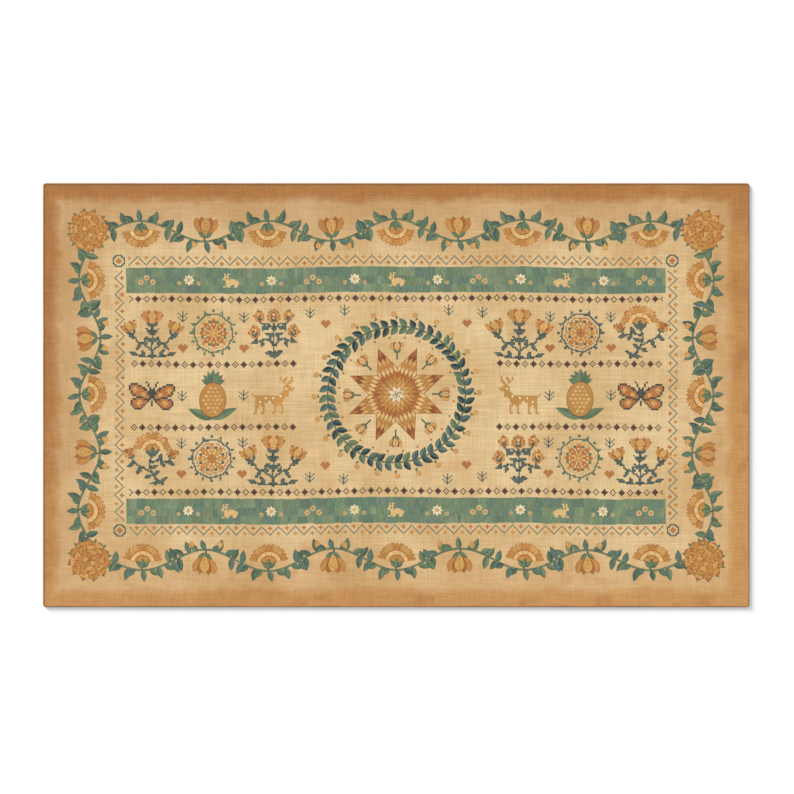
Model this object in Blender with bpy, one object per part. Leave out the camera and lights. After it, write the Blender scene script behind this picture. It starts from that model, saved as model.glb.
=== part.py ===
"""A flat floor rug of one piece of low-pile cloth, 60 by 36 inches, as it lies on a floor.

Metres, +Z up. X runs along the rug and Y across it. The origin is the middle of the
underside, so the rug lies on z = 0 with its face up.
"""

import math

import bmesh
import bpy

INCH = 0.0254

LENGTH = 60 * INCH
WIDTH = 36 * INCH
THICKNESS = 0.003

CORNER_RADIUS = 0.006  # the rounding of each corner, seen from above
RIM_RADIUS = 0.0012  # the softness of the edge, above and below
CORNER_STEPS = 6
RIM_STEPS = 3

CLOTH_COLOUR = (0.52, 0.37, 0.20, 1.0)
CLOTH_ROUGHNESS = 0.9


def clear_scene():
    """Removes whatever the file opened with."""
    for scene_object in list(bpy.data.objects):
        bpy.data.objects.remove(scene_object)


def cloth_material():
    """The plain cloth that the rug is cut from."""
    material = bpy.data.materials.new("rug_cloth")
    material.use_nodes = True
    shader = material.node_tree.nodes["Principled BSDF"]
    shader.inputs["Base Color"].default_value = CLOTH_COLOUR
    shader.inputs["Roughness"].default_value = CLOTH_ROUGHNESS
    shader.inputs["Metallic"].default_value = 0.0
    return material


def outline(inset):
    """The rug's outline from above, counter-clockwise, drawn in by inset all round."""
    radius = CORNER_RADIUS - inset
    centre_x = LENGTH / 2 - CORNER_RADIUS
    centre_y = WIDTH / 2 - CORNER_RADIUS
    points = []
    for corner, (side_x, side_y) in enumerate(((1, 1), (-1, 1), (-1, -1), (1, -1))):
        for step in range(CORNER_STEPS + 1):
            turn = math.pi / 2 * (corner + step / CORNER_STEPS)
            x = side_x * centre_x + radius * math.cos(turn)
            y = side_y * centre_y + radius * math.sin(turn)
            points.append((x, y))
    return points


def edge_profile():
    """The rug's edge from the underside up to the face, as pairs of inset and height."""
    profile = []
    for step in range(RIM_STEPS + 1):
        turn = math.pi / 2 * step / RIM_STEPS
        inset = RIM_RADIUS * (1 - math.sin(turn))
        height = RIM_RADIUS * (1 - math.cos(turn))
        profile.append((inset, height))
    upper = [(inset, THICKNESS - height) for inset, height in reversed(profile)]
    return profile + upper


def build_rug():
    """One closed sheet: a flat underside, a soft edge and a flat face."""
    shape = bmesh.new()
    rings = []
    for inset, height in edge_profile():
        rings.append([shape.verts.new((x, y, height)) for x, y in outline(inset)])
    for lower, upper in zip(rings, rings[1:]):
        for here in range(len(lower)):
            after = (here + 1) % len(lower)
            shape.faces.new((lower[here], lower[after], upper[after], upper[here]))
    shape.faces.new(list(reversed(rings[0])))
    shape.faces.new(rings[-1])

    mesh = bpy.data.meshes.new("rug")
    shape.to_mesh(mesh)
    shape.free()
    mesh.materials.append(cloth_material())
    mesh.shade_smooth()
    mesh.set_sharp_from_angle(angle=math.radians(40))
    rug = bpy.data.objects.new("rug", mesh)
    bpy.context.scene.collection.objects.link(rug)
    return rug


clear_scene()
build_rug()
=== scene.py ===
"""The look of a flat printed floor rug with a generic band-and-spot sampler on its face.

The printed design is drawn in millimetres as flat shapes in paint order. The rug's own face is
then split along the outlines that show, so that the print is part of the cloth.
"""

import math
import random

import bmesh
import bpy
import numpy as np
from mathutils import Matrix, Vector
from mathutils.bvhtree import BVHTree
from mathutils.geometry import delaunay_2d_cdt


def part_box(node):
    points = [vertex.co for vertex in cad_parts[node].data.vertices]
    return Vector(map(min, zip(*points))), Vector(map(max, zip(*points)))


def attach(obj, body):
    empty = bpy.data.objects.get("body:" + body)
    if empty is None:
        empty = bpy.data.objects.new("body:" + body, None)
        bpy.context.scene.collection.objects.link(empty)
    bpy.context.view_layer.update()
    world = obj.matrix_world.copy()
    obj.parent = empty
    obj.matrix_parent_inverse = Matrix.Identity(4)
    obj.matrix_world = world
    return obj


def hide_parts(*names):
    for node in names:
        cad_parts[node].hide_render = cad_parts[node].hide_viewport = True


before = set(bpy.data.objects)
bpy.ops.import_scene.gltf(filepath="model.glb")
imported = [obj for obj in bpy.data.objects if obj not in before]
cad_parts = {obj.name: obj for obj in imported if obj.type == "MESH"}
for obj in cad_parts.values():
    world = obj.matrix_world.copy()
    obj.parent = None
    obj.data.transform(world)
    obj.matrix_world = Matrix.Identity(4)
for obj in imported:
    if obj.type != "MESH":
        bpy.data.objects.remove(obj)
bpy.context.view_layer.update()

MM = 0.001
LOW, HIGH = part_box("rug")
LENGTH = HIGH.x - LOW.x
WIDTH = HIGH.y - LOW.y
THICKNESS = HIGH.z - LOW.z

# The rug, in millimetres.
HALF_X = LENGTH / MM / 2
HALF_Y = WIDTH / MM / 2
FACE_Z = THICKNESS / MM
CORNER_RADIUS = 6.0
CLOTH_INSET = 0.8  # the cloth ends just inside the thread that wraps its edge
RIM = 1.1  # how far in the face starts to round over
FACE_DROP = 0.3  # how far the middle of the face lies under the stated thickness
GRID = 14.0  # spacing of the face's own points between the printed shapes
TOUCH = 1e-4  # outlines nearer than this meet
WELD = 0.003  # points of the finished mesh nearer than this become one
SWELL = 0.12  # how far the lying cloth rises and falls

# The overlock thread round the edge, in millimetres.
WRAP_PITCH = 3.8
WRAP_WIDTH = 3.1
WRAP_THICK = 0.32  # half of a strand's thickness
WRAP_REACH = 3.2  # from the edge, over the face
WRAP_SLANT = 1.1
WRAP_SIDES = 6

# The printed design, in millimetres.
CELL = 3.0  # one counted cross stitch
OUTLINE = 0.8  # the dark line round a leaf or petal
BORDER_X = 662.0  # the middle line of the vine border
BORDER_Y = 355.0
BORDER_WAVE = 23.0  # how far the vine swings to each side
CORNER_FLOWER = 42.0
FRAME_X = 597.0  # the middle line of the zigzag frame
FRAME_Y = 291.0
STRIP_MIDDLE = 249.0
STRIP_HEIGHT = 54.0
STRIP_HALF = 582.0
RULE_Y = 208.0  # the long brown band beside each strip
WREATH_RADIUS = 148.0
SPOT_COLUMNS = (265.0, 396.0, 527.0)
SPOT_ROWS = (136.0, 0.0, -136.0)

LIGHT = 1.07  # how bright white cloth is, laid flat in this studio
THREADS = {  # as they look in that light
    "leaf": (92, 114, 86),
    "leaf_light": (112, 132, 100),
    "leaf_deep": (60, 76, 58),
    "teal": (72, 94, 88),
    "teal_light": (94, 120, 112),
    "teal_deep": (46, 62, 60),
    "lawn": (116, 134, 104),
    "lawn_light": (128, 142, 110),
    "lawn_blue": (106, 127, 106),
    "ochre": (190, 136, 70),
    "gold": (206, 158, 90),
    "pale_gold": (222, 184, 122),
    "tan": (174, 108, 58),
    "rust": (144, 84, 50),
    "brown": (66, 46, 40),
    "cream": (236, 216, 176),
}
SATIN, CROSS = 0.0, 1.0

FACE_SHARE = 0.9  # of the texture map's height; the underside has the rest

RUG_SHARE = 0.88955  # of the picture's width
VIEW_OFFSET = (1.7 * MM, -4.0 * MM)
SENSOR, LENS = 36.0, 100.0
ROOM_LIGHT = 0.63
SUN_AZIMUTH, SUN_ELEVATION, SUN_SPREAD = 135.0, 13.0, 18.0  # degrees
SUN_STRENGTH = 6.14
FLOOR_GREY = 0.96

draws = random.Random(11)


def dyed(colour):
    """The dye that looks like a display colour of 0 to 255 in the studio's light."""
    shares = [value / 255 for value in colour]
    return tuple(((s + 0.055) / 1.055) ** 2.4 / LIGHT for s in shares)


# ---------------------------------------------------------------- drawing


def drawn_askew(x, y):
    """Moves the design a little, as old cloth pulls out of square, and not at all at the edge."""
    room = min(HALF_X - abs(x), HALF_Y - abs(y)) - 10
    hold = min(max(room, 0), 60) / 60
    along = 1.5 * math.sin(y / 88 + 0.4) + 0.9 * math.sin(x / 61 + y / 130)
    across = 1.7 * math.sin(x / 150 + 1.1) + math.sin(x / 57 - y / 90)
    along += 0.3 * math.sin(x / 17 + y / 23)
    across += 0.3 * math.sin(x / 19 - y / 21)
    return x + hold * along, y + hold * across


class Design:
    """Flat shapes in the order they are laid down, in millimetres on the rug's face."""

    def __init__(self):
        self.points = []
        self.outlines = []
        self.looks = []  # colour, cover, the way the threads run, where they start, the stitch

    def add(self, points, colour, lay):
        run_x, run_y, start_x, start_y, stitch = lay
        turn = sum(a[0] * b[1] - b[0] * a[1] for a, b in zip(points, points[1:] + points[:1]))
        ordered = points if turn > 0 else points[::-1]
        first = len(self.points)
        self.points.extend(drawn_askew(*point) for point in ordered)
        self.outlines.append(list(range(first, first + len(ordered))))
        self.looks.append((*colour, run_x, run_y, *drawn_askew(start_x, start_y), stitch))


class Counted:
    """Takes shapes as the design does, and keeps them as counted cross stitches."""

    def __init__(self):
        self.stitches = {}

    def add(self, points, colour, lay):
        """Every stitch whose middle is inside the shape takes its colour."""
        corners = [(x / CELL, y / CELL) for x, y in points]
        rows = [y for _, y in corners]
        for row in range(math.floor(min(rows)), math.ceil(max(rows))):
            ends = []
            for (ax, ay), (bx, by) in zip(corners, corners[1:] + corners[:1]):
                if (ay > row + 0.5) != (by > row + 0.5):
                    ends.append(ax + (row + 0.5 - ay) / (by - ay) * (bx - ax))
            ends.sort()
            for start, stop in zip(ends[::2], ends[1::2]):
                for column in range(math.ceil(start - 0.5), math.ceil(stop - 0.5)):
                    self.stitches[row, column] = colour

    def work(self, pen):
        """Lays the stitches down with the pen, each run of one colour as one strip."""
        run = None
        for (row, column), colour in sorted(self.stitches.items()):
            if colour[3] == 0:
                continue
            if run and run[0] == row and run[2] == column and run[3] == colour:
                run[2] += 1
                continue
            if run:
                self.lay_run(pen, *run)
            run = [row, column, column + 1, colour]
        if run:
            self.lay_run(pen, *run)

    def lay_run(self, pen, row, first, last, colour):
        left, right, low, high = (n * CELL for n in (first, last, row, row + 1))
        box = [(left, low), (right, low), (right, high), (left, high)]
        pen.lay_down(box, colour, 0, pen.origin, CROSS)


class Pen:
    """Draws on the design in its own place, which may be turned, sized and mirrored."""

    def __init__(self, design, origin=(0.0, 0.0), across=(1.0, 0.0), up=(0.0, 1.0), swaps=()):
        self.design = design
        self.origin = Vector(origin)
        self.across = Vector(across)
        self.up = Vector(up)
        self.swaps = dict(swaps)  # threads that stand in for others

    def on_rug(self, point):
        return self.origin + point[0] * self.across + point[1] * self.up

    def at(self, x, y, turn=0.0, size=1.0, mirror=1, swaps=()):
        """A pen at a place on this one's paper, turned by degrees."""
        angle = math.radians(turn)
        across = self.across * math.cos(angle) + self.up * math.sin(angle)
        up = self.up * math.cos(angle) - self.across * math.sin(angle)
        swaps = {**self.swaps, **dict(swaps)}
        return Pen(self.design, self.on_rug((x, y)), across * size * mirror, up * size, swaps)

    def lay_down(self, points, colour, lay, start, stitch):
        angle = math.radians(lay)
        along = (self.across * math.cos(angle) + self.up * math.sin(angle)).normalized()
        placed = [tuple(self.on_rug(point)) for point in points]
        self.design.add(placed, colour, (*along, *start, stitch))

    def shade(self, thread, cover=1.0):
        """The thread's own dye, a little lighter or darker each time, and how much it covers."""
        lighter = 1 + draws.uniform(-0.08, 0.08)
        dye = dyed(THREADS[self.swaps.get(thread, thread)])
        return (*[c * lighter * (1 + draws.uniform(-0.04, 0.04)) for c in dye], cover)

    def fill(self, points, thread, lay, cover=1.0):
        """A filled shape. lay is the way its threads run, in degrees from +X."""
        start = (draws.uniform(-50, 50), draws.uniform(-50, 50))
        self.lay_down(points, self.shade(thread, cover), lay, start, SATIN)

    def counted(self, draw, *sizes):
        """Works a motif in counted cross stitch instead of in satin stitch."""
        canvas = Counted()
        draw(Pen(canvas, swaps=self.swaps), *sizes)
        canvas.work(self)


def smooth(points, spacing=6.0):
    """Points about spacing apart on one smooth curve through the given ones."""
    ends = [points[0], *points, points[-1]]
    line = []
    for a, b, c, d in zip(ends, ends[1:], ends[2:], ends[3:]):
        steps = max(1, round(math.dist(b, c) / spacing))
        for step in range(steps):
            t = step / steps
            weights = (
                (-t + 2 * t**2 - t**3) / 2,
                (2 - 5 * t**2 + 3 * t**3) / 2,
                (t + 4 * t**2 - 3 * t**3) / 2,
                (-(t**2) + t**3) / 2,
            )
            line.append(tuple(sum(w * p[i] for w, p in zip(weights, (a, b, c, d))) for i in (0, 1)))
    return line + [points[-1]]


def ring_points(radius, steps, start=0.0, stop=360.0, wave=0.0, waves=0):
    """Points round the origin, from one angle to another, with the radius rising and falling."""
    whole = stop - start >= 360
    points = []
    for step in range(steps if whole else steps + 1):
        angle = math.radians(start + (stop - start) * step / steps)
        reach = radius * (1 + wave * math.cos(waves * (angle - math.radians(start))))
        points.append((reach * math.cos(angle), reach * math.sin(angle)))
    return points


def ribbon(pen, line, width, thread):
    """A line of short stitches. Width is at the start and at the end."""
    first, last = width
    sides = []
    for here, point in enumerate(line):
        before = line[max(here - 1, 0)]
        after = line[min(here + 1, len(line) - 1)]
        span = math.dist(before, after)
        half = (first + (last - first) * here / (len(line) - 1)) / 2
        out = (-(after[1] - before[1]) / span * half, (after[0] - before[0]) / span * half)
        left = (point[0] + out[0], point[1] + out[1])
        right = (point[0] - out[0], point[1] - out[1])
        sides.append((left, right, math.degrees(math.atan2(out[1], out[0])) - 70))
    for (a, b, lay), (c, d, _) in zip(sides, sides[1:]):
        pen.fill([a, b, d, c], thread, lay)


def stem(pen, points, width, thread="leaf", spacing=6.0):
    """A worked stem: a dark line with a lighter one on it."""
    line = smooth(points, spacing)
    ribbon(pen, line, [w + 2 * OUTLINE for w in width], "leaf_deep")
    ribbon(pen, line, width, thread)


def half_leaf(length, width, side, steps):
    shares = [step / steps for step in range(steps + 1)]
    bulge = [max(0.0, math.sin(math.pi * t**0.8)) ** 0.85 for t in shares]
    return [(length * t, side * width / 2 * b) for t, b in zip(shares, bulge)]


def leaf(pen, length, width, threads=("leaf_light", "leaf"), edge="leaf_deep", steps=6):
    """A leaf along +X from its stalk, with a dark outline and two halves of satin stitch."""
    e = OUTLINE
    upper, lower = (half_leaf(length + 2 * e, width + 2 * e, side, steps) for side in (1, -1))
    pen.at(-e, 0).fill(upper + lower[-2:0:-1], edge, 0)
    pen.fill(half_leaf(length, width, 1, steps), threads[0], 55)
    pen.fill(half_leaf(length, width, -1, steps), threads[1], -55)


def petal(pen, length, width, thread, edge, steps=5):
    """A blunt petal along +X, widest near its tip."""
    def outline(reach, spread):
        shares = [step / steps for step in range(steps + 1)]
        bulge = [max(0.0, math.sin(math.pi * t ** (1 / 0.62))) ** 0.7 for t in shares]
        upper, lower = (
            [(reach * t, sign * spread / 2 * b) for t, b in zip(shares, bulge)] for sign in (1, -1)
        )
        return upper + lower[-2:0:-1]

    e = OUTLINE
    pen.at(-e, 0).fill(outline(length + 2 * e, width + 2 * e), edge, 0)
    pen.fill(outline(length, width), thread, 0)


def knots(pen, radius, count, threads, size=1.5):
    """Small knots scattered evenly over a disc."""
    for number in range(count):
        reach = radius * math.sqrt((number + 0.5) / count)
        angle = number * 137.5 + draws.uniform(-9, 9)
        spot = pen.at(reach * math.cos(math.radians(angle)), reach * math.sin(math.radians(angle)))
        spot.fill(ring_points(size * draws.uniform(0.75, 1.15), 6), draws.choice(threads), 0)


def chart(pen, rows, threads, repeat=None, mirror=False):
    """Counted cross stitches, centred on the pen. threads gives each letter its thread."""
    if mirror:
        rows = [row + row[-2::-1] for row in rows]
    width = repeat or len(rows[0])
    canvas = Counted()
    for first in range(0, width, 12):
        shades = {letter: pen.shade(thread) for letter, thread in threads.items()}
        for up, row in enumerate(reversed(rows)):
            for column in range(first, min(first + 12, width)):
                letter = row[column % len(row)]
                if letter != ".":
                    canvas.stitches[up, column] = shades[letter]
    canvas.work(pen.at(-width * CELL / 2, -len(rows) * CELL / 2))


# ---------------------------------------------------------------- flowers and figures


def rosette(pen, radius):
    """A full round flower in four rings of petals, with small green tips behind it."""
    for number in range(12):
        leaf(pen.at(0, 0, 30 * number + 12).at(radius * 0.8, 0), radius * 0.36, 6, steps=3)
    rings = ((1.0, 11), (0.78, 9), (0.56, 7), (0.34, 5))
    for ring, (share, lobes) in enumerate(rings):
        turned = pen.at(0, 0, draws.uniform(0, 30))
        reach = radius * share
        turned.fill(ring_points(reach + OUTLINE, 5 * lobes, wave=0.07, waves=lobes), "tan", 0)
        for number in range(lobes):
            half = 180 / lobes
            arc = ring_points(reach * 0.97, 5, -half * 0.88, half * 0.88)
            thread = "gold" if number % 3 and (number + ring) % 2 else "ochre"
            turned.at(0, 0, 360 * number / lobes).fill([(reach * 0.2, 0), *arc], thread, 0)
    knots(pen, radius * 0.94, 90, ("pale_gold", "gold", "rust", "tan"), 1.3)


def carnation(pen, size):
    """A fan-shaped pink that opens along +Y from its stalk at the origin."""
    for turn in (-62, 62, -31, 31, 0):
        one = pen.at(0, size * 0.16, 90 + turn)
        teeth = []
        for tooth in range(7):
            angle = math.radians(-18 + 6 * tooth)
            reach = size * (0.84 if tooth % 2 else 0.74)
            teeth.append((reach * math.cos(angle), reach * math.sin(angle)))
        one.fill([(0, 0), *[(1.05 * x, 1.05 * y) for x, y in teeth]], "tan", 0)
        one.fill([(0, 0), *teeth], "gold" if turn % 62 else "ochre", 0)
        for reach, thread in ((0.58, "tan"), (0.52, "pale_gold"), (0.36, "tan"), (0.3, "ochre")):
            one.fill([(0, 0), *ring_points(size * reach, 3, -15, 15)], thread, 0)
        for angle in (-9, 0, 9):
            one.at(0, 0, angle).at(size * 0.66, 0).fill(ring_points(1.3, 5), "tan", 0)
    for turn in (-46, 46, 0):
        leaf(pen.at(0, -size * 0.04, 90 + turn), size * 0.4, size * 0.17, steps=4)


def tulip(pen, size, threads=("gold", "ochre", "tan")):
    """A tulip that opens along +Y from its stalk at the origin."""
    for turn in (-30, 30):
        petal(pen.at(0, 0, 90 + turn), size, size * 0.42, threads[1], "rust")
    for turn in (-13, 13):
        petal(pen.at(0, 0, 90 + turn), size * 0.97, size * 0.34, threads[2], "rust")
    petal(pen.at(0, 0, 90), size * 0.9, size * 0.44, threads[0], "rust")
    for step in range(3):
        pen.at(0, size * (0.3 + 0.18 * step)).fill(ring_points(1.4, 5), "rust", 0)
    for turn in (-52, 52):
        leaf(pen.at(0, 0, 90 + turn), size * 0.42, size * 0.16, steps=4)


def pomegranate(pen, size):
    """A split round fruit that opens along +Y from its stalk at the origin."""
    half = size / 2
    body = pen.at(0, half * 0.86)
    for turn in (-24, 0, 24):
        petal(pen.at(0, size * 0.66, 90 + turn), size * 0.42, size * 0.2, "gold", "rust", steps=3)
    body.fill(ring_points(half + OUTLINE, 18), "rust", 0)
    body.fill(ring_points(half, 18), "ochre", 60)
    body.fill([(0.42 * x, 0.8 * y) for x, y in ring_points(half, 12)], "rust", 0)
    for row in range(4):
        for side in (-1, 1):
            seed = body.at(side * half * 0.17, half * (0.5 - 0.33 * row))
            seed.fill(ring_points(half * 0.15, 5), "pale_gold", 0)
    for turn in (-120, -60):
        leaf(pen.at(0, size * 0.03, 90 + turn + 90), size * 0.4, size * 0.17, steps=4)


def daisy(pen, size, thread="cream", heart="gold"):
    for number in range(8):
        petal(pen.at(0, 0, 45 * number), size, size * 0.5, thread, "lawn", steps=3)
    pen.fill(ring_points(size * 0.3, 8), heart, 0)


def pineapple(pen):
    """A netted fruit with a crown and two pairs of leaves."""
    for side in (-1, 1):
        leaf(pen.at(0, -50, 90 - side * 66), 56, 17, steps=8)
        leaf(pen.at(0, -48, 90 - side * 36), 44, 14, steps=8)
    for turn in (-66, 66, -44, 44, -22, 22, 0):
        leaf(pen.at(0, 24, 90 + turn), 34 - abs(turn) * 0.1, 11, steps=5)
    body = [(x * 28, y * 37 - 8) for x, y in ring_points(1, 24)]
    pen.fill([(1.04 * x, 1.04 * y) for x, y in body], "rust", 0)
    pen.fill(body, "ochre", 45)
    for down in range(-4, 5):
        for side in range(-3, 4):
            x = (side + (down % 2) / 2) * 9.5
            y = down * 8.6 - 8
            if (x / 25) ** 2 + ((y + 8) / 34) ** 2 < 0.8:
                pen.at(x, y).fill([(4, 0), (0, 3.6), (-4, 0), (0, -3.6)], "pale_gold", 0)
                pen.at(x, y).fill(ring_points(1.2, 5), "tan", 0)


def leafy(pen, places, length, width):
    """Pairs of leaves at the given places, each a mirror of the other."""
    for x, y, turn in places:
        for side in (-1, 1):
            at = pen.at(side * x, y, turn if side > 0 else 180 - turn)
            leaf(at, length * draws.uniform(0.9, 1.1), width)


def tulip_sprig(pen):
    """Three tulips on one branching stem."""
    stem(pen, [(0, -56), (1, -30), (-1, -8), (0, 12)], (3.4, 2.6))
    for side in (-1, 1):
        stem(pen, [(0, -40), (side * 18, -26), (side * 32, -20), (side * 42, -4)], (3.0, 2.4))
        stem(pen, [(0, -50), (side * 20, -53), (side * 34, -48)], (2.8, 2.2))
        tulip(pen.at(side * 42, -5, -side * 24), 32)
    tulip(pen.at(0, 11), 40)
    leafy(pen, ((14, -31, 84), (24, -25, -50), (38, -12, 24), (16, -52, 60), (34, -48, 16)), 17, 8)
    leafy(pen, ((0, -20, 34), (0, -4, 40)), 18, 7)


def carnation_sprig(pen):
    """A leaning stem with one large pink and two buds."""
    stem(pen, [(-26, -56), (-4, -36), (4, -10), (-2, 10)], (3.4, 2.8))
    stem(pen, [(0, -28), (18, -18), (34, -10), (42, 2)], (3.0, 2.4))
    stem(pen, [(2, -8), (-18, -2), (-32, -6), (-42, 2)], (3.0, 2.4))
    carnation(pen.at(-2, 8), 50)
    tulip(pen.at(42, 0, -20), 25, ("tan", "gold", "ochre"))
    tulip(pen.at(-42, 0, 16), 23, ("tan", "gold", "ochre"))
    for x, y, turn in (
        (-18, -50, 150), (-18, -50, -8), (-4, -36, 140), (-2, -34, -20), (2, -20, 158),
        (22, -16, -62), (36, -8, -30), (-14, -3, 124), (-18, -3, -128), (-34, -6, -160),
    ):
        leaf(pen.at(x, y, turn), draws.uniform(17, 21), 8)


def pomegranate_tree(pen):
    """Five fruits on curling branches."""
    stem(pen, [(0, -58), (2, -20), (0, 14), (0, 24)], (4.0, 2.8))
    for side in (-1, 1):
        stem(pen, [(0, -30), (side * 18, -14), (side * 36, -20), (side * 40, -8)], (3.0, 2.4))
        pomegranate(pen.at(side * 40, -9, -side * 14), 25)
        stem(pen, [(0, 4), (side * 12, 20), (side * 28, 18), (side * 30, 26)], (3.0, 2.4))
        pomegranate(pen.at(side * 30, 25, -side * 10), 23)
    pomegranate(pen.at(0, 22), 28)
    leafy(pen, ((10, -22, 92), (26, -17, -84), (36, -18, -20), (8, 14, -20), (20, 19, -70)), 16, 8)
    leafy(pen, ((0, -46, 8), (0, -54, 40), (0, -6, 12)), 20, 8)


def medallion(pen, radius, outer="teal", inner="ochre", dots="tan"):
    """An eight-sided medallion with a flower in it, ringed by small tufts."""
    for number in range(16):
        tuft = pen.at(0, 0, 22.5 * number).at(radius + 2, 0)
        tuft.fill([(-3, -4), (6, 0), (-3, 4)], outer, 0)
    rings = ((1.0, outer, 1), (0.9, outer, 0), (0.8, dots, 1), (0.74, outer, 0))
    for reach, thread, cover in rings:
        pen.fill(ring_points(radius * reach, 8, 22.5), thread, 0, cover=cover)
    for number in range(8):
        one = pen.at(0, 0, 45 * number)
        petal(one.at(4, 0), radius * 0.62, radius * 0.27, inner, dots)
        one.at(radius * 0.43, 0).fill(ring_points(2.2, 5), "pale_gold", 0)
        one.at(0, 0, 22.5).at(radius * 0.56, 0).fill(ring_points(3.4, 6), outer, 0)
    pen.fill(ring_points(6, 8), dots, 0)


BUTTERFLY = (
    ".........#...",
    ".####.....#..",
    "#oooo##...#..",
    "#oo+ooo##..#.",
    "#o+++ooo##.##",
    ".#o+oooooo###",
    ".#ooooo++o###",
    "..##ooo++oo##",
    "....####ooo##",
    "..##oooo####.",
    ".#ooo++ooo#.#",
    ".#oo+++oo#..#",
    ".#ooo+oo#...#",
    "..#oooo#.....",
    "...####......",
)
STAG = (
    "...............#..#..#..",
    "...............#.##..#..",
    "................##..##..",
    ".................#.##...",
    "..................##....",
    ".................####...",
    ".................#o####.",
    ".................#####..",
    "................####....",
    "#..............#####....",
    ".##############o####....",
    "..#####o###o######......",
    "..###############.......",
    "..##o####o#######.......",
    "..#####....#####........",
    "..##.##.....##.##.......",
    "..##..#.....#...#.......",
    "..#...#.....#...#.......",
    "..#...#.....#...#.......",
    ".##..##....##..##.......",
)
RABBIT = (
    ".......##.#..",
    "........#.#..",
    "........###..",
    "........#o##.",
    "...####.####.",
    ".#########...",
    "##########...",
    ".#########...",
    ".###..####...",
    "..##...##.##.",
)
HEART = (".##.##.", "#######", "#######", ".#####.", "..###..", "...#...")
SPRIG = ("...#...", "#..o..#", ".#.#.#.", "..###..", "#..#..#", ".#.#.#.", "..###..", "...#...")
DIAMONDS = ("..#.....+...", ".###...+.+..", "#####.+.o.+.", ".###...+.+..", "..#.....+...")
LADDER = ("#.....o.....", ".#...ooo...#", "..#.ooooo.#.", ".#...ooo...#", "#.....o.....")
ZIGZAG = (
    "o.....#.....",
    "oo...#.#...o",
    "o...#...#...",
    "...#.....#..",
    "..#...+...#.",
    ".#...+++...#",
    "#.....+.....",
)


def octagon(pen, reach, threads):
    """A small counted medallion: a ring of eight sides round a star."""
    rows = []
    for up in range(-reach, reach + 1):
        row = ""
        for side in range(-reach, reach + 1):
            a, b = abs(side), abs(up)
            ring = round(max(a, b, (a + b) * 0.72))
            star = ring < reach - 1 and (a == 0 or b == 0 or a == b or a + b < 3)
            row += "#" if ring == reach else "o" if star else "."
        rows.append(row)
    chart(pen, rows, threads)


def patchwork_star(pen, side):
    """An eight-pointed star of lozenges, in rings of colour."""
    count = 5
    rings = ("cream", "gold", "ochre", "tan", "pale_gold", "ochre", "gold", "rust", "tan")
    small = side / count
    slope = math.sqrt(0.5)
    far_side = [(small * (1 + slope), small * slope), (small * slope, small * slope)]
    lozenge = [(0, 0), (small, 0), *far_side]
    middle = (small * (1 + slope) / 2, small * slope / 2)
    inner = [tuple(m + 0.92 * (p - m) for p, m in zip(q, middle)) for q in lozenge]
    for point in range(8):
        arm = pen.at(0, 0, 45 * point)
        tip = side * (1 + slope)
        backing = [(-1, 0), (side, -1.4), (tip + 2, side * slope), (side * slope, side * slope + 1)]
        arm.fill(backing, "rust", 0)
        for i in range(count):
            for j in range(count):
                at = arm.at(small * (i + j * slope), small * j * slope)
                at.fill(inner, rings[i + j], 22.5 + 45 * ((i + j) % 2))
    knots(pen, 9, 9, ("brown", "teal"), 1.6)


# ---------------------------------------------------------------- the sampler


def border_side(pen, half_span, lobes):
    """A waving vine along +X with a flower in each hollow. +Y is the outer side."""
    lobe = 2 * half_span / lobes
    steps = 12 * lobes
    places = [-half_span + 2 * half_span * step / steps for step in range(steps + 1)]
    wave = [BORDER_WAVE * math.sin(math.pi * (x + half_span) / lobe) for x in places]
    stem(pen, list(zip(places, wave)), (3.0, 3.0), "lawn", spacing=12.0)
    for number in range(lobes):
        middle = -half_span + (number + 0.5) * lobe
        one = pen.at(middle, 0, 180 * (number % 2))
        for share, turn, length in (
            (-0.47, 128, 27), (-0.35, 158, 23), (-0.25, 112, 27), (-0.12, 154, 23),
            (-0.01, 100, 24), (0.11, 34, 23), (0.21, 74, 27), (0.32, 22, 24),
            (0.43, 58, 25), (-0.43, -80, 27), (0.42, -100, 27),
        ):
            height = BORDER_WAVE * math.cos(math.pi * share)
            turn += draws.uniform(-9, 9)
            pair = draws.choice((("leaf_light", "leaf"), ("leaf", "teal"), ("teal_light", "leaf")))
            stalk = one.at(share * lobe, height, turn)
            leaf(stalk, length * draws.uniform(0.88, 1.12), length * 0.46, pair)
        stem(one, [(0, BORDER_WAVE), (2, BORDER_WAVE - 5), (0, BORDER_WAVE - 9)], (2.4, 2.4))
        for side, height in ((-0.27, 4), (0.27, 5)):
            bud = one.at(side * lobe, BORDER_WAVE * 0.66, 90 + 50 * side + draws.uniform(-20, 20))
            if number % 2:
                petal(bud.at(10, height), 15, 12, "gold", "tan")
        head = one.at(0, BORDER_WAVE - 8, 180 + draws.uniform(-6, 6))
        if number % 2 == 0:
            carnation(head, 50)
        else:
            tulip(head, 48)


def border(pen):
    reach = CORNER_FLOWER + 2
    border_side(pen.at(0, BORDER_Y), BORDER_X - reach, 9)
    border_side(pen.at(0, -BORDER_Y, 180), BORDER_X - reach, 9)
    border_side(pen.at(BORDER_X, 0, -90), BORDER_Y - reach, 5)
    border_side(pen.at(-BORDER_X, 0, 90), BORDER_Y - reach, 5)
    for side in (-1, 1):
        for end in (-1, 1):
            rosette(pen.at(side * BORDER_X, end * BORDER_Y), CORNER_FLOWER)


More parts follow.
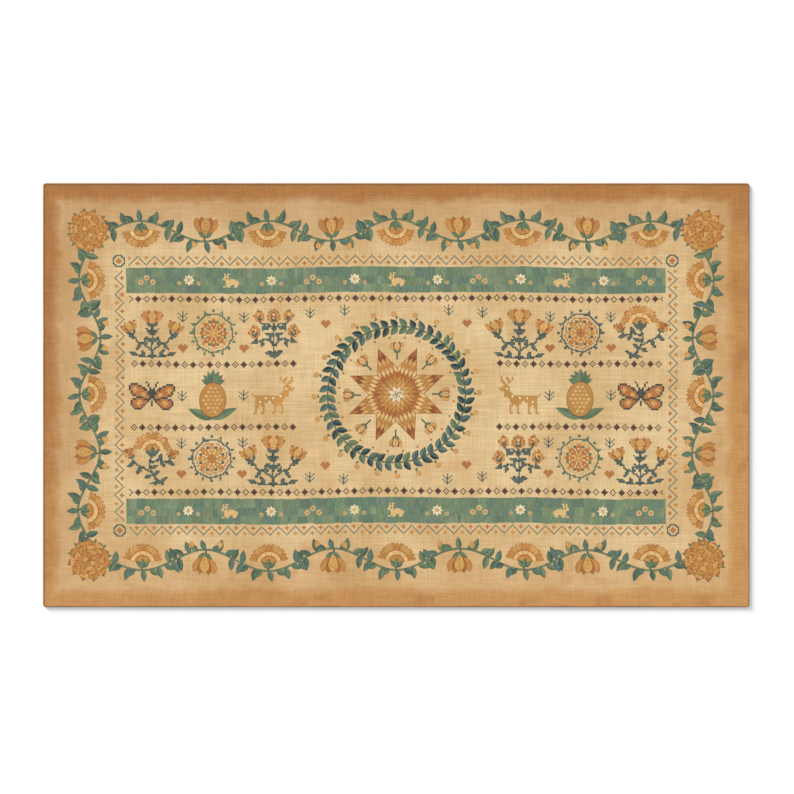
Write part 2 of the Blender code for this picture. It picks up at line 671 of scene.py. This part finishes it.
def counted_frame(pen):
    """Zigzag bands on the four sides of the field, and a small medallion at each corner."""
    threads = {"#": "teal", "o": "ochre", "+": "tan"}
    repeat = len(ZIGZAG[0])
    long_cells, short_cells = (
        repeat * int((half - 16) * 2 / CELL / repeat) for half in (FRAME_X, FRAME_Y)
    )
    for side in (-1, 1):
        chart(pen.at(0, side * FRAME_Y, 90 - 90 * side), ZIGZAG, threads, long_cells)
        chart(pen.at(side * FRAME_X, 0, -90 * side), ZIGZAG, threads, short_cells)
        for end in (-1, 1):
            octagon(pen.at(side * FRAME_X, end * FRAME_Y), 4, {"#": "teal", "o": "tan"})


def green_strip(pen):
    """A long strip of upright stitches in three courses, with small flowers and rabbits on it."""
    course = STRIP_HEIGHT / 3
    for row in range(3):
        x = -STRIP_HALF
        while x < STRIP_HALF:
            run = min(draws.uniform(5, 26), STRIP_HALF - x)
            low = -STRIP_HEIGHT / 2 + row * course - draws.uniform(0, 2 if row == 0 else 5)
            top = -STRIP_HEIGHT / 2 + (row + 1) * course + draws.uniform(-0.9, 0.9)
            thread = draws.choice(("lawn", "lawn", "lawn_light", "lawn_blue", "lawn_blue"))
            pen.fill([(x, low), (x + run, low), (x + run, top), (x, top)], thread, 90)
            x += run
    places = 13
    for number in range(places):
        x = (number - (places - 1) / 2) * (2 * STRIP_HALF / places)
        if number % 4 == 2:
            turned = 1 if number > places // 2 else -1
            chart(pen.at(x, 0, mirror=turned), RABBIT, {"#": "pale_gold", "o": "brown"})
        elif number % 2 == 1:
            daisy(pen.at(x, 0), 12)
            for side in (-1, 1):
                daisy(pen.at(x + side * 21, -7), 5, "pale_gold", "tan")
        else:
            for side in (-1, 0, 1):
                daisy(pen.at(x + side * 13, 9 * (side == 0) - 4), 7, "pale_gold", "tan")


def wreath(pen):
    """A ring of leaves in pairs, with buds outside them, round the star."""
    circle = ring_points(WREATH_RADIUS, 120)
    stem(pen, circle + circle[:1], (2.0, 2.0), "leaf_light", spacing=20.0)
    pairs = 48
    for number in range(pairs):
        at = pen.at(0, 0, 360 * number / pairs)
        for side in (-1, 1):
            turn = 90 - side * draws.uniform(40, 58)
            dyes = (("teal_light", "teal"), ("teal", "teal_deep"), ("leaf_light", "leaf"))
            pair = draws.choice(dyes)
            leaf(at.at(WREATH_RADIUS + side, 0, turn), draws.uniform(20, 25), 12, pair, "teal_deep")
        if number % 2 == 0:
            bud = at.at(WREATH_RADIUS + 22, 0, draws.uniform(20, 60))
            petal(bud, 14, 10, "gold", "tan")
            bud.at(0, 0, 100).fill([(0, -3), (9, 0), (0, 3)], "leaf", 0)
        else:
            at.at(WREATH_RADIUS - 24, 0).fill(ring_points(2.6, 6), "tan", 0)


def centre_piece(pen):
    wreath(pen)
    patchwork_star(pen, 58)
    for number in range(8):
        between = pen.at(0, 0, 45 * number)
        stem(between, [(76, 0), (84, 0), (92, 0)], (1.8, 1.8))
        tulip(between.at(91, 0, -90), 25, ("pale_gold", "gold", "tan"))
    for side in (-1, 1):
        for end in (-1, 1):
            chart(pen.at(side * 152, end * 152), HEART, {"#": "tan"})
            chart(pen.at(side * 186, end * 176), SPRIG, {"#": "teal", "o": "tan"})
            chart(pen.at(side * 112, end * 182), SPRIG, {"#": "teal", "o": "tan"})


def spots(pen, rows):
    """The nine figures on one side of the star, in three rows with counted bands between."""
    near, middle, far = SPOT_COLUMNS
    high, level, low = rows
    dark = {"leaf": "teal", "leaf_light": "teal", "leaf_deep": "teal_deep"}
    insect = {"#": "teal_deep", "o": "tan", "+": "gold"}
    pen.at(near, high, size=1.06, swaps=dark).counted(tulip_sprig)
    pen.at(middle, high).counted(medallion, 45)
    pen.at(far, high, swaps=dark).counted(carnation_sprig)
    chart(pen.at(near, level, mirror=-1, size=1.35), STAG, {"#": "ochre", "o": "cream"})
    pineapple(pen.at(middle, level))
    chart(pen.at(far, level, size=1.35), BUTTERFLY, insect, mirror=True)
    pen.at(near, low, swaps=dark).counted(pomegranate_tree)
    pen.at(middle, low).counted(medallion, 45, "leaf", "tan", "gold")
    pen.at(far, low, swaps=dark).counted(tulip_sprig)
    for x in (near + middle, middle + far):
        for y in (high + 34, level, low + 34):
            chart(pen.at(x / 2, y), SPRIG, {"#": "teal", "o": "tan"})
        for y in (high - 34, low - 34):
            chart(pen.at(x / 2, y), HEART, {"#": "tan"})
    for y in (-68, 68):
        chart(pen.at(396, y), DIAMONDS, {"#": "brown", "+": "brown", "o": "tan"}, 120)


def sampler():
    """The whole printed design."""
    design = Design()
    outline = cloth_outline(RIM)
    design.add(outline, (1.0, 1.0, 1.0, 0.0), (1.0, 0.0, 0.0, 0.0, SATIN))
    pen = Pen(design)
    border(pen)
    counted_frame(pen)
    for side in (-1, 1):
        green_strip(pen.at(0, side * STRIP_MIDDLE))
        chart(pen.at(0, side * RULE_Y), LADDER, {"#": "brown", "o": "brown"}, 384)
        spots(pen.at(0, 0, mirror=side), SPOT_ROWS[::side])
    centre_piece(pen)
    return design


# ---------------------------------------------------------------- the rug's cloth


def add_object(name, data):
    """A new object in the scene, of a mesh, a camera or a light."""
    thing = bpy.data.objects.new(name, data)
    bpy.context.scene.collection.objects.link(thing)
    return thing


def cloth_outline(inset):
    """The cloth's outline, counter-clockwise, drawn in by inset all round."""
    inset += CLOTH_INSET
    radius = max(CORNER_RADIUS - inset, 0.5)
    points = []
    for corner, (side_x, side_y) in enumerate(((1, 1), (-1, 1), (-1, -1), (1, -1))):
        centre = (side_x * (HALF_X - CORNER_RADIUS), side_y * (HALF_Y - CORNER_RADIUS))
        arc = ring_points(radius, 6, 90 * corner, 90 * corner + 90)
        points += [(centre[0] + x, centre[1] + y) for x, y in arc]
        after = 2 * (HALF_X - CORNER_RADIUS) if corner % 2 == 0 else 2 * (HALF_Y - CORNER_RADIUS)
        steps = round(after / GRID)
        way = ((-1, 0), (0, -1), (1, 0), (0, 1))[corner]
        last = points[-1]
        points += [
            (last[0] + way[0] * after * s / steps, last[1] + way[1] * after * s / steps)
            for s in range(1, steps)
        ]
    return points


def swell(x, y):
    """How far the lying cloth rises, in millimetres."""
    rise = np.sin(x / 97 + 1.3 * np.sin(y / 140)) + np.sin(y / 71 + x / 260 + 0.7)
    return SWELL * rise


def straight(a, b, c):
    """Whether b lies on the line from a to c."""
    return abs((b - a).cross(c - b)) < 1e-3 * (c - a).length and (b - a).dot(c - b) > 0


def split_face(design):
    """The rug's face as triangles, and the look of each. Lines hidden by a later shape go."""
    points = [Vector(point) for point in design.points]
    found = delaunay_2d_cdt(points, [], design.outlines, 1, TOUCH, True)
    corners, pieces, inside = found[0], found[2], found[5]
    looks = [design.looks[max(shapes)] for shapes in inside]

    edges = {}
    for piece, look in zip(pieces, looks):
        for a, b in zip(piece, piece[1:] + piece[:1]):
            edges.setdefault((min(a, b), max(a, b)), []).append(look)
    links = {}
    for (a, b), sides in edges.items():
        if len(sides) == 1 or sides[0] != sides[1]:
            links.setdefault(a, set()).add(b)
            links.setdefault(b, set()).add(a)
    for corner in list(links):
        if len(links[corner]) == 2:
            a, b = links[corner]
            inner = min(HALF_X - abs(corners[corner].x), HALF_Y - abs(corners[corner].y)) > 5
            if inner and b not in links[a] and straight(corners[a], corners[corner], corners[b]):
                del links[corner]
                links[a] ^= {corner, b}
                links[b] ^= {corner, a}

    number = {corner: n for n, corner in enumerate(links)}
    lines = [(number[a], number[b]) for a in links for b in links[a] if a < b]
    grid = [
        Vector((x, y))
        for x in np.arange(-HALF_X + GRID, HALF_X - GRID / 2, GRID)
        for y in np.arange(-HALF_Y + GRID, HALF_Y - GRID / 2, GRID)
    ]
    again = delaunay_2d_cdt([corners[c] for c in links] + grid, lines, [], 0, TOUCH, False)
    places = np.array(again[0])
    faces = np.array(again[2])
    under = BVHTree.FromPolygons([(*corner, 0.0) for corner in corners], pieces)
    middles = places[faces].mean(axis=1)
    hits = [under.find_nearest((*middle, 0.0))[2] for middle in middles]
    return places, faces, np.array([looks[hit] for hit in hits])


def build_cloth():
    """One closed sheet whose face is split along the outlines of the print."""
    flat, faces, looks = split_face(sampler())
    x, y = flat.T
    near_edge = np.clip((HALF_Y - abs(y)) / 12, 0, 1) * np.clip((HALF_X - abs(x)) / 12, 0, 1)
    levels = [np.column_stack([x, y, FACE_Z - FACE_DROP + swell(x, y) * near_edge])]
    polygons = faces.tolist()

    number = {tuple(np.round(p, 2)): n for n, p in enumerate(flat)}
    ring = [number[tuple(np.round(p, 2))] for p in np.array(cloth_outline(RIM))]
    count = len(flat)
    for inset, height in ((0.3, FACE_Z - 0.75), (0.0, FACE_Z / 2), (0.3, 0.75), (RIM, 0.1)):
        level = np.array(cloth_outline(inset))
        levels.append(np.column_stack([level, np.full(len(level), height)]))
        lower = list(range(count, count + len(level)))
        for n, m in zip(range(len(ring)), [*range(1, len(ring)), 0]):
            polygons.append([ring[n], lower[n], lower[m], ring[m]])
        ring = lower
        count += len(level)
    polygons.append(ring[::-1])

    mesh = bpy.data.meshes.new("rug_face")
    mesh.from_pydata([tuple(p * MM) for p in np.concatenate(levels)], [], polygons)
    slots = [int(n >= len(faces)) for n in range(len(polygons))]
    mesh.polygons.foreach_set("material_index", slots)

    corner_looks = np.repeat(looks, 3, axis=0)
    away = flat[faces.ravel()] - corner_looks[:, 6:8]
    run_x, run_y = corner_looks[:, 4], corner_looks[:, 5]
    along = away[:, 0] * run_x + away[:, 1] * run_y
    across = away[:, 1] * run_x - away[:, 0] * run_y
    total = len(mesh.loops)
    thread = np.zeros((total, 4))
    thread[: len(away)] = corner_looks[:, :4]
    lay = np.zeros((total, 3))
    lay[: len(away)] = np.column_stack([along, across, corner_looks[:, 8]])
    mesh.attributes.new("thread", "FLOAT_COLOR", "CORNER").data.foreach_set("color", thread.ravel())
    mesh.attributes.new("lay", "FLOAT_VECTOR", "CORNER").data.foreach_set("vector", lay.ravel())
    welded = bmesh.new()
    welded.from_mesh(mesh)
    bmesh.ops.remove_doubles(welded, verts=welded.verts, dist=WELD * MM)
    bmesh.ops.dissolve_degenerate(welded, dist=WELD * MM, edges=welded.edges)
    welded.to_mesh(mesh)
    welded.free()
    lay_out_map(mesh)
    mesh.materials.append(printed_material())
    mesh.materials.append(backing_material())
    return add_object("rug_cloth", mesh)


def lay_out_map(mesh):
    """A map with the whole face over most of it, and the underside in a strip below."""
    def read(items, name, width=1, kind=np.int32):
        values = np.empty(len(items) * width, kind)
        items.foreach_get(name, values)
        return values

    places = read(mesh.vertices, "co", 3, float).reshape(-1, 3)
    spot = places[read(mesh.loops, "vertex_index")] / MM
    sizes = read(mesh.polygons, "loop_total")
    under = np.repeat(read(mesh.polygons, "material_index"), sizes) == 1
    u = 0.5 + spot[:, 0] / HALF_X / 2
    v = 0.5 + spot[:, 1] / HALF_Y / 2
    v = np.where(under, v * (1 - FACE_SHARE - 0.01), 1 - FACE_SHARE + v * FACE_SHARE)
    layer = mesh.uv_layers.new(name="OFBake")
    layer.uv.foreach_set("vector", np.stack([u, v], 1).ravel())


# ---------------------------------------------------------------- materials


class Value:
    """A socket that can be added, multiplied and so on, one Math node for each step."""

    def __init__(self, nodes, socket):
        self.nodes = nodes
        self.socket = socket

    def __add__(self, other):
        return self.nodes.math("ADD", self, other)

    def __sub__(self, other):
        return self.nodes.math("SUBTRACT", self, other)

    def __rsub__(self, other):
        return self.nodes.math("SUBTRACT", other, self)

    def __mul__(self, other):
        return self.nodes.math("MULTIPLY", self, other)

    __radd__ = __add__
    __rmul__ = __mul__


class Nodes:
    """Short names for the shader nodes used here."""

    def __init__(self, name, roughness, sheen=0.0):
        self.material = bpy.data.materials.new(name)
        self.material.use_nodes = True
        self.tree = self.material.node_tree
        self.shader = self.tree.nodes["Principled BSDF"]
        self.shader.inputs["Sheen Weight"].default_value = sheen
        self.shader.inputs["Roughness"].default_value = roughness
        self.shader.inputs["Specular IOR Level"].default_value = 0.25

    def put(self, socket, value):
        if isinstance(value, Value):
            self.tree.links.new(value.socket, socket)
        elif value is not None:
            socket.default_value = value

    def node(self, kind, inputs=(), output=0, **settings):
        node = self.tree.nodes.new(kind)
        for name, value in settings.items():
            setattr(node, name, value)
        for name, value in dict(inputs).items():
            self.put(node.inputs[name], value)
        return Value(self, node.outputs[output])

    def math(self, operation, a, b=None):
        return self.node("ShaderNodeMath", {0: a, 1: b}, operation=operation)

    def place(self):
        return self.node("ShaderNodeTexCoord", output="Object")

    def attribute(self, name, output="Vector"):
        return self.node("ShaderNodeAttribute", output=output, attribute_name=name)

    def split(self, vector):
        return [self.node("ShaderNodeSeparateXYZ", {0: vector}, output=axis) for axis in "XYZ"]

    def join(self, x, y):
        return self.node("ShaderNodeCombineXYZ", {0: x, 1: y})

    def stretched(self, vector, x, y):
        return self.node("ShaderNodeMapping", {"Vector": vector, "Scale": (x, y, 1.0)})

    def noise(self, vector, scale=1.0, detail=2.0, roughness=0.5):
        inputs = {"Vector": vector, "Scale": scale, "Detail": detail, "Roughness": roughness}
        return self.node("ShaderNodeTexNoise", inputs)

    def ease(self, value, low, high, to_low=0.0, to_high=1.0):
        inputs = {"Value": value, "From Min": low, "From Max": high}
        inputs |= {"To Min": to_low, "To Max": to_high}
        return self.node("ShaderNodeMapRange", inputs, interpolation_type="SMOOTHSTEP")

    def mix(self, share, a, b):
        """One colour faded into another. 6, 7 and 2 are the node's colour sockets."""
        node = self.tree.nodes.new("ShaderNodeMix")
        node.data_type = "RGBA"
        self.put(node.inputs[0], share)
        self.put(node.inputs[6], a)
        self.put(node.inputs[7], b)
        return Value(self, node.outputs[2])

    def scaled(self, colour, amount):
        """The colour times a number."""
        return self.node("ShaderNodeVectorMath", {0: colour, "Scale": amount}, operation="SCALE")

    def bump(self, height, distance, strength):
        inputs = {"Height": height, "Distance": distance, "Strength": strength}
        return self.node("ShaderNodeBump", inputs)

    def finish(self, colour, normal=None):
        self.put(self.shader.inputs["Base Color"], colour)
        self.put(self.shader.inputs["Normal"], normal)
        return self.material


def shown(*colour):
    """A colour for a socket, given as it looks in the studio's light."""
    return (*dyed(colour), 1.0)


def weave_height(nodes, place, pitch):
    """A plain weave of one pitch, from -1 between the threads to 1 on them."""
    x, y, _ = nodes.split(place)
    rows = nodes.math("SINE", x * (2 * math.pi / pitch))
    lines = nodes.math("SINE", y * (2 * math.pi / pitch))
    return rows * lines


def linen(nodes, place):
    """The printed ground: unbleached linen with uneven threads, and its clouds and blots."""
    weft = nodes.noise(nodes.stretched(place, 14, 330), detail=3)
    warp = nodes.noise(nodes.stretched(place, 350, 12), detail=3)
    slub = nodes.noise(nodes.stretched(place, 7, 160), detail=2)
    cloud = nodes.noise(place, 5.5, detail=4, roughness=0.6)
    blot = nodes.noise(place, 17, detail=3, roughness=0.6)
    cream = nodes.mix(nodes.ease(cloud, 0.35, 0.65), shown(213, 178, 124), shown(229, 199, 150))
    cream = nodes.mix(nodes.ease(blot, 0.52, 0.74, 0, 0.42), cream, shown(212, 160, 104))
    threads = 0.46 + weft * 0.48 + warp * 0.42 + slub * 0.18
    threads = threads + weave_height(nodes, place, 0.0032) * 0.06
    return nodes.scaled(cream, threads), cloud, blot


def browning(nodes, place, cloud, blot):
    """How brown the cloth is, from 1 at the rug's edge to 0 inside, and the brown's own tone."""
    x, y, _ = nodes.split(place)
    room_x = LENGTH / 2 - nodes.math("ABSOLUTE", x) - x * 0.008
    room_y = WIDTH / 2 - nodes.math("ABSOLUTE", y)
    fray = nodes.noise(place, 70, detail=4)
    room = nodes.math("MINIMUM", room_x, room_y)
    room = room + (cloud - 0.5) * 0.016 + (blot - 0.5) * 0.034 + (fray - 0.5) * 0.016
    strong = nodes.ease(room, 0.020, 0.068, 1, 0)
    faint = nodes.ease(room, 0.030, 0.190, 0.46, 0)
    tone = cloud + x * 0.20 - y * 0.50
    return nodes.math("MAXIMUM", strong, faint), tone


def printed_material():
    """The face: the linen, the brown edge and the stitches, all in flat ink on the cloth."""
    nodes = Nodes("rug_face", 0.86, sheen=0.08)
    place = nodes.place()
    ground, cloud, blot = linen(nodes, place)
    brown, tone = browning(nodes, place, cloud, blot)
    weft = nodes.noise(nodes.stretched(place, 22, 300), detail=3)
    warp = nodes.noise(nodes.stretched(place, 300, 22), detail=3)
    toned = nodes.mix(nodes.ease(tone, 0.20, 0.80), shown(176, 119, 65), shown(201, 148, 89))
    toned = nodes.mix(nodes.ease(blot, 0.50, 0.70, 0, 0.45), toned, shown(166, 104, 54))
    toned = nodes.scaled(toned, 0.55 + weft * 0.48 + warp * 0.42)
    ground = nodes.mix(brown, ground, toned)

    thread = nodes.attribute("thread", "Color")
    cover = nodes.attribute("thread", "Alpha")
    along, across, kind = nodes.split(nodes.attribute("lay"))
    strands = nodes.noise(nodes.join(along * 0.06, across * 0.50), detail=3)
    wide = nodes.noise(nodes.join(along * 0.05, across * 0.16), detail=2)
    satin = 0.22 + strands * 1.10 + wide * 0.46
    cell_x = nodes.math("FRACT", along * (1 / CELL)) - 0.5
    cell_y = nodes.math("FRACT", across * (1 / CELL)) - 0.5
    off_x, off_y = (nodes.math("ABSOLUTE", cell) for cell in (cell_x, cell_y))
    slope = nodes.math("ABSOLUTE", off_x - off_y)  # 0 along both arms of a cross stitch
    mottle = nodes.noise(place, 330, detail=2)
    cross = nodes.ease(slope, 0.05, 0.5, 1.12, 0.80) * (0.5 + mottle)
    bare = kind * nodes.ease(slope, 0.22, 0.50, 0.0, 0.55)
    shade = satin + kind * (cross - satin)
    stitched = nodes.scaled(thread, shade)
    worn = nodes.ease(nodes.noise(place, 90, detail=3), 0.60, 0.85, 0, 0.35)
    colour = nodes.mix(cover * (1 - worn) * (1 - bare), ground, stitched)

    relief = weave_height(nodes, place, 0.0024) + nodes.noise(place, 900, detail=2)
    return nodes.finish(colour, nodes.bump(relief, 0.00014, 0.6))


def backing_material():
    """The rim and the underside: the same cloth, unprinted."""
    nodes = Nodes("rug_back", 0.92)
    place = nodes.place()
    streaks = nodes.noise(nodes.stretched(place, 30, 400), detail=3)
    cloud = nodes.noise(place, 6, detail=3)
    colour = nodes.mix(nodes.ease(cloud, 0.3, 0.7), shown(196, 178, 150), shown(212, 196, 170))
    colour = nodes.scaled(colour, 0.8 + streaks * 0.4)
    relief = weave_height(nodes, place, 0.0024)
    return nodes.finish(colour, nodes.bump(relief, 0.0003, 0.6))


def thread_material():
    nodes = Nodes("edge_thread", 0.8, sheen=0.1)
    place = nodes.place()
    cloud = nodes.noise(place, 9, detail=3)
    fine = nodes.noise(place, 700, detail=2)
    colour = nodes.mix(nodes.ease(cloud, 0.35, 0.65), shown(152, 106, 62), shown(172, 124, 76))
    colour = nodes.scaled(colour, 0.75 + fine * 0.5)
    return nodes.finish(colour, nodes.bump(fine, 0.0002, 0.5))


# ---------------------------------------------------------------- the overlocked edge


def edge_path():
    """Places round the cloth's edge, one for each wrap of thread, with the way out at each."""
    runs = (2 * (HALF_X - CORNER_RADIUS), 2 * (HALF_Y - CORNER_RADIUS))
    quarter = math.pi / 2 * CORNER_RADIUS
    around = 2 * sum(runs) + 4 * quarter
    wraps = round(around / WRAP_PITCH)
    places = []
    for number in range(wraps):
        left = around * number / wraps
        for corner in range(4):
            run = runs[corner % 2]
            start = math.radians(90 * corner)
            cx = (1, -1, -1, 1)[corner] * (HALF_X - CORNER_RADIUS)
            cy = (1, 1, -1, -1)[corner] * (HALF_Y - CORNER_RADIUS)
            if left < quarter:
                turn = start + left / CORNER_RADIUS
                places.append((cx, cy, math.cos(turn), math.sin(turn), 0.0))
                break
            left -= quarter
            if left < run:
                turn = start + math.pi / 2
                places.append((cx, cy, math.cos(turn), math.sin(turn), left))
                break
            left -= run
    return places


def build_edge():
    """The overlock: one fat strand over the rim for each stitch, from the face to the underside."""
    vertices, polygons = [], []
    sides = WRAP_SIDES
    top = FACE_Z + 0.12
    path = [
        (-WRAP_REACH, top - 0.42), (-WRAP_REACH * 0.8, top - 0.1), (-WRAP_REACH * 0.45, top),
        (-1.3, top - 0.05), (-0.4, top - 0.4), (0.1, FACE_Z * 0.66), (0.15, FACE_Z * 0.36),
        (-0.4, 0.5), (-1.6, 0.32), (-WRAP_REACH, 0.4),
    ]
    for x0, y0, out_x, out_y, left in edge_path():
        along = (-out_y, out_x)
        base = len(vertices)
        for step, (reach, height) in enumerate(path):
            share = step / (len(path) - 1)
            lean = WRAP_SLANT * (0.5 - share) * 2
            radius = CORNER_RADIUS + reach
            cx = x0 + out_x * radius + along[0] * (left + lean)
            cy = y0 + out_y * radius + along[1] * (left + lean)
            before = path[max(step - 1, 0)]
            after = path[min(step + 1, len(path) - 1)]
            way = Vector((after[0] - before[0], after[1] - before[1])).normalized()
            rise = (-way.y, way.x)
            fullness = math.sin(math.pi * (0.12 + 0.76 * share)) ** 0.5
            for side in range(sides):
                angle = 2 * math.pi * side / sides
                wide = math.cos(angle) * WRAP_WIDTH / 2 * fullness
                thick = math.sin(angle) * WRAP_THICK * fullness
                vertices.append((
                    cx + along[0] * wide + out_x * rise[0] * thick,
                    cy + along[1] * wide + out_y * rise[0] * thick,
                    max(height + rise[1] * thick, 0.0),
                ))
        for step in range(len(path) - 1):
            for side in range(sides):
                a = base + step * sides + side
                b = base + step * sides + (side + 1) % sides
                polygons.append((a, b, b + sides, a + sides))
        polygons.append(tuple(base + n for n in range(sides))[::-1])
        last = base + (len(path) - 1) * sides
        polygons.append(tuple(last + n for n in range(sides)))
    mesh = bpy.data.meshes.new("edge_thread")
    mesh.from_pydata([(x * MM, y * MM, z * MM) for x, y, z in vertices], [], polygons)
    mesh.shade_smooth()
    mesh.materials.append(thread_material())
    return add_object("edge_thread", mesh)


# ---------------------------------------------------------------- the studio


def add_camera():
    data = bpy.data.cameras.new("camera")
    data.lens = LENS
    data.sensor_width = SENSOR
    camera = add_object("camera", data)
    camera.location = (*VIEW_OFFSET, THICKNESS + LENGTH / RUG_SHARE * LENS / SENSOR)
    bpy.context.scene.camera = camera


def add_sun():
    """A low soft sun. Azimuth is from +X, and elevation is above the floor."""
    data = bpy.data.lights.new("key", "SUN")
    data.energy = SUN_STRENGTH
    data.angle = math.radians(SUN_SPREAD)
    a, e = math.radians(SUN_AZIMUTH), math.radians(SUN_ELEVATION)
    towards = Vector((math.cos(a) * math.cos(e), math.sin(a) * math.cos(e), math.sin(e)))
    add_object("key", data).rotation_euler = towards.to_track_quat("Z", "Y").to_euler()


def add_floor():
    mesh = bpy.data.meshes.new("floor")
    reach = 30.0
    corners = [(-reach, -reach, 0), (reach, -reach, 0), (reach, reach, 0), (-reach, reach, 0)]
    mesh.from_pydata(corners, [], [(0, 1, 2, 3)])
    floor = add_object("floor", mesh)
    floor.location.z = -0.2 * MM
    mesh.materials.append(Nodes("floor", 0.9).finish((*[FLOOR_GREY] * 3, 1.0)))


def light_room():
    world = bpy.data.worlds.new("studio")
    world.use_nodes = True
    background = world.node_tree.nodes["Background"]
    background.inputs["Color"].default_value = (1.0, 1.0, 1.0, 1.0)
    background.inputs["Strength"].default_value = ROOM_LIGHT
    bpy.context.scene.world = world
    bpy.context.scene.view_settings.view_transform = "Standard"


# ---------------------------------------------------------------- the scene

add_camera()
light_room()
add_sun()
add_floor()

rug = build_cloth()
edge = build_edge()

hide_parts("rug")
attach(rug, "root")
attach(edge, "root")
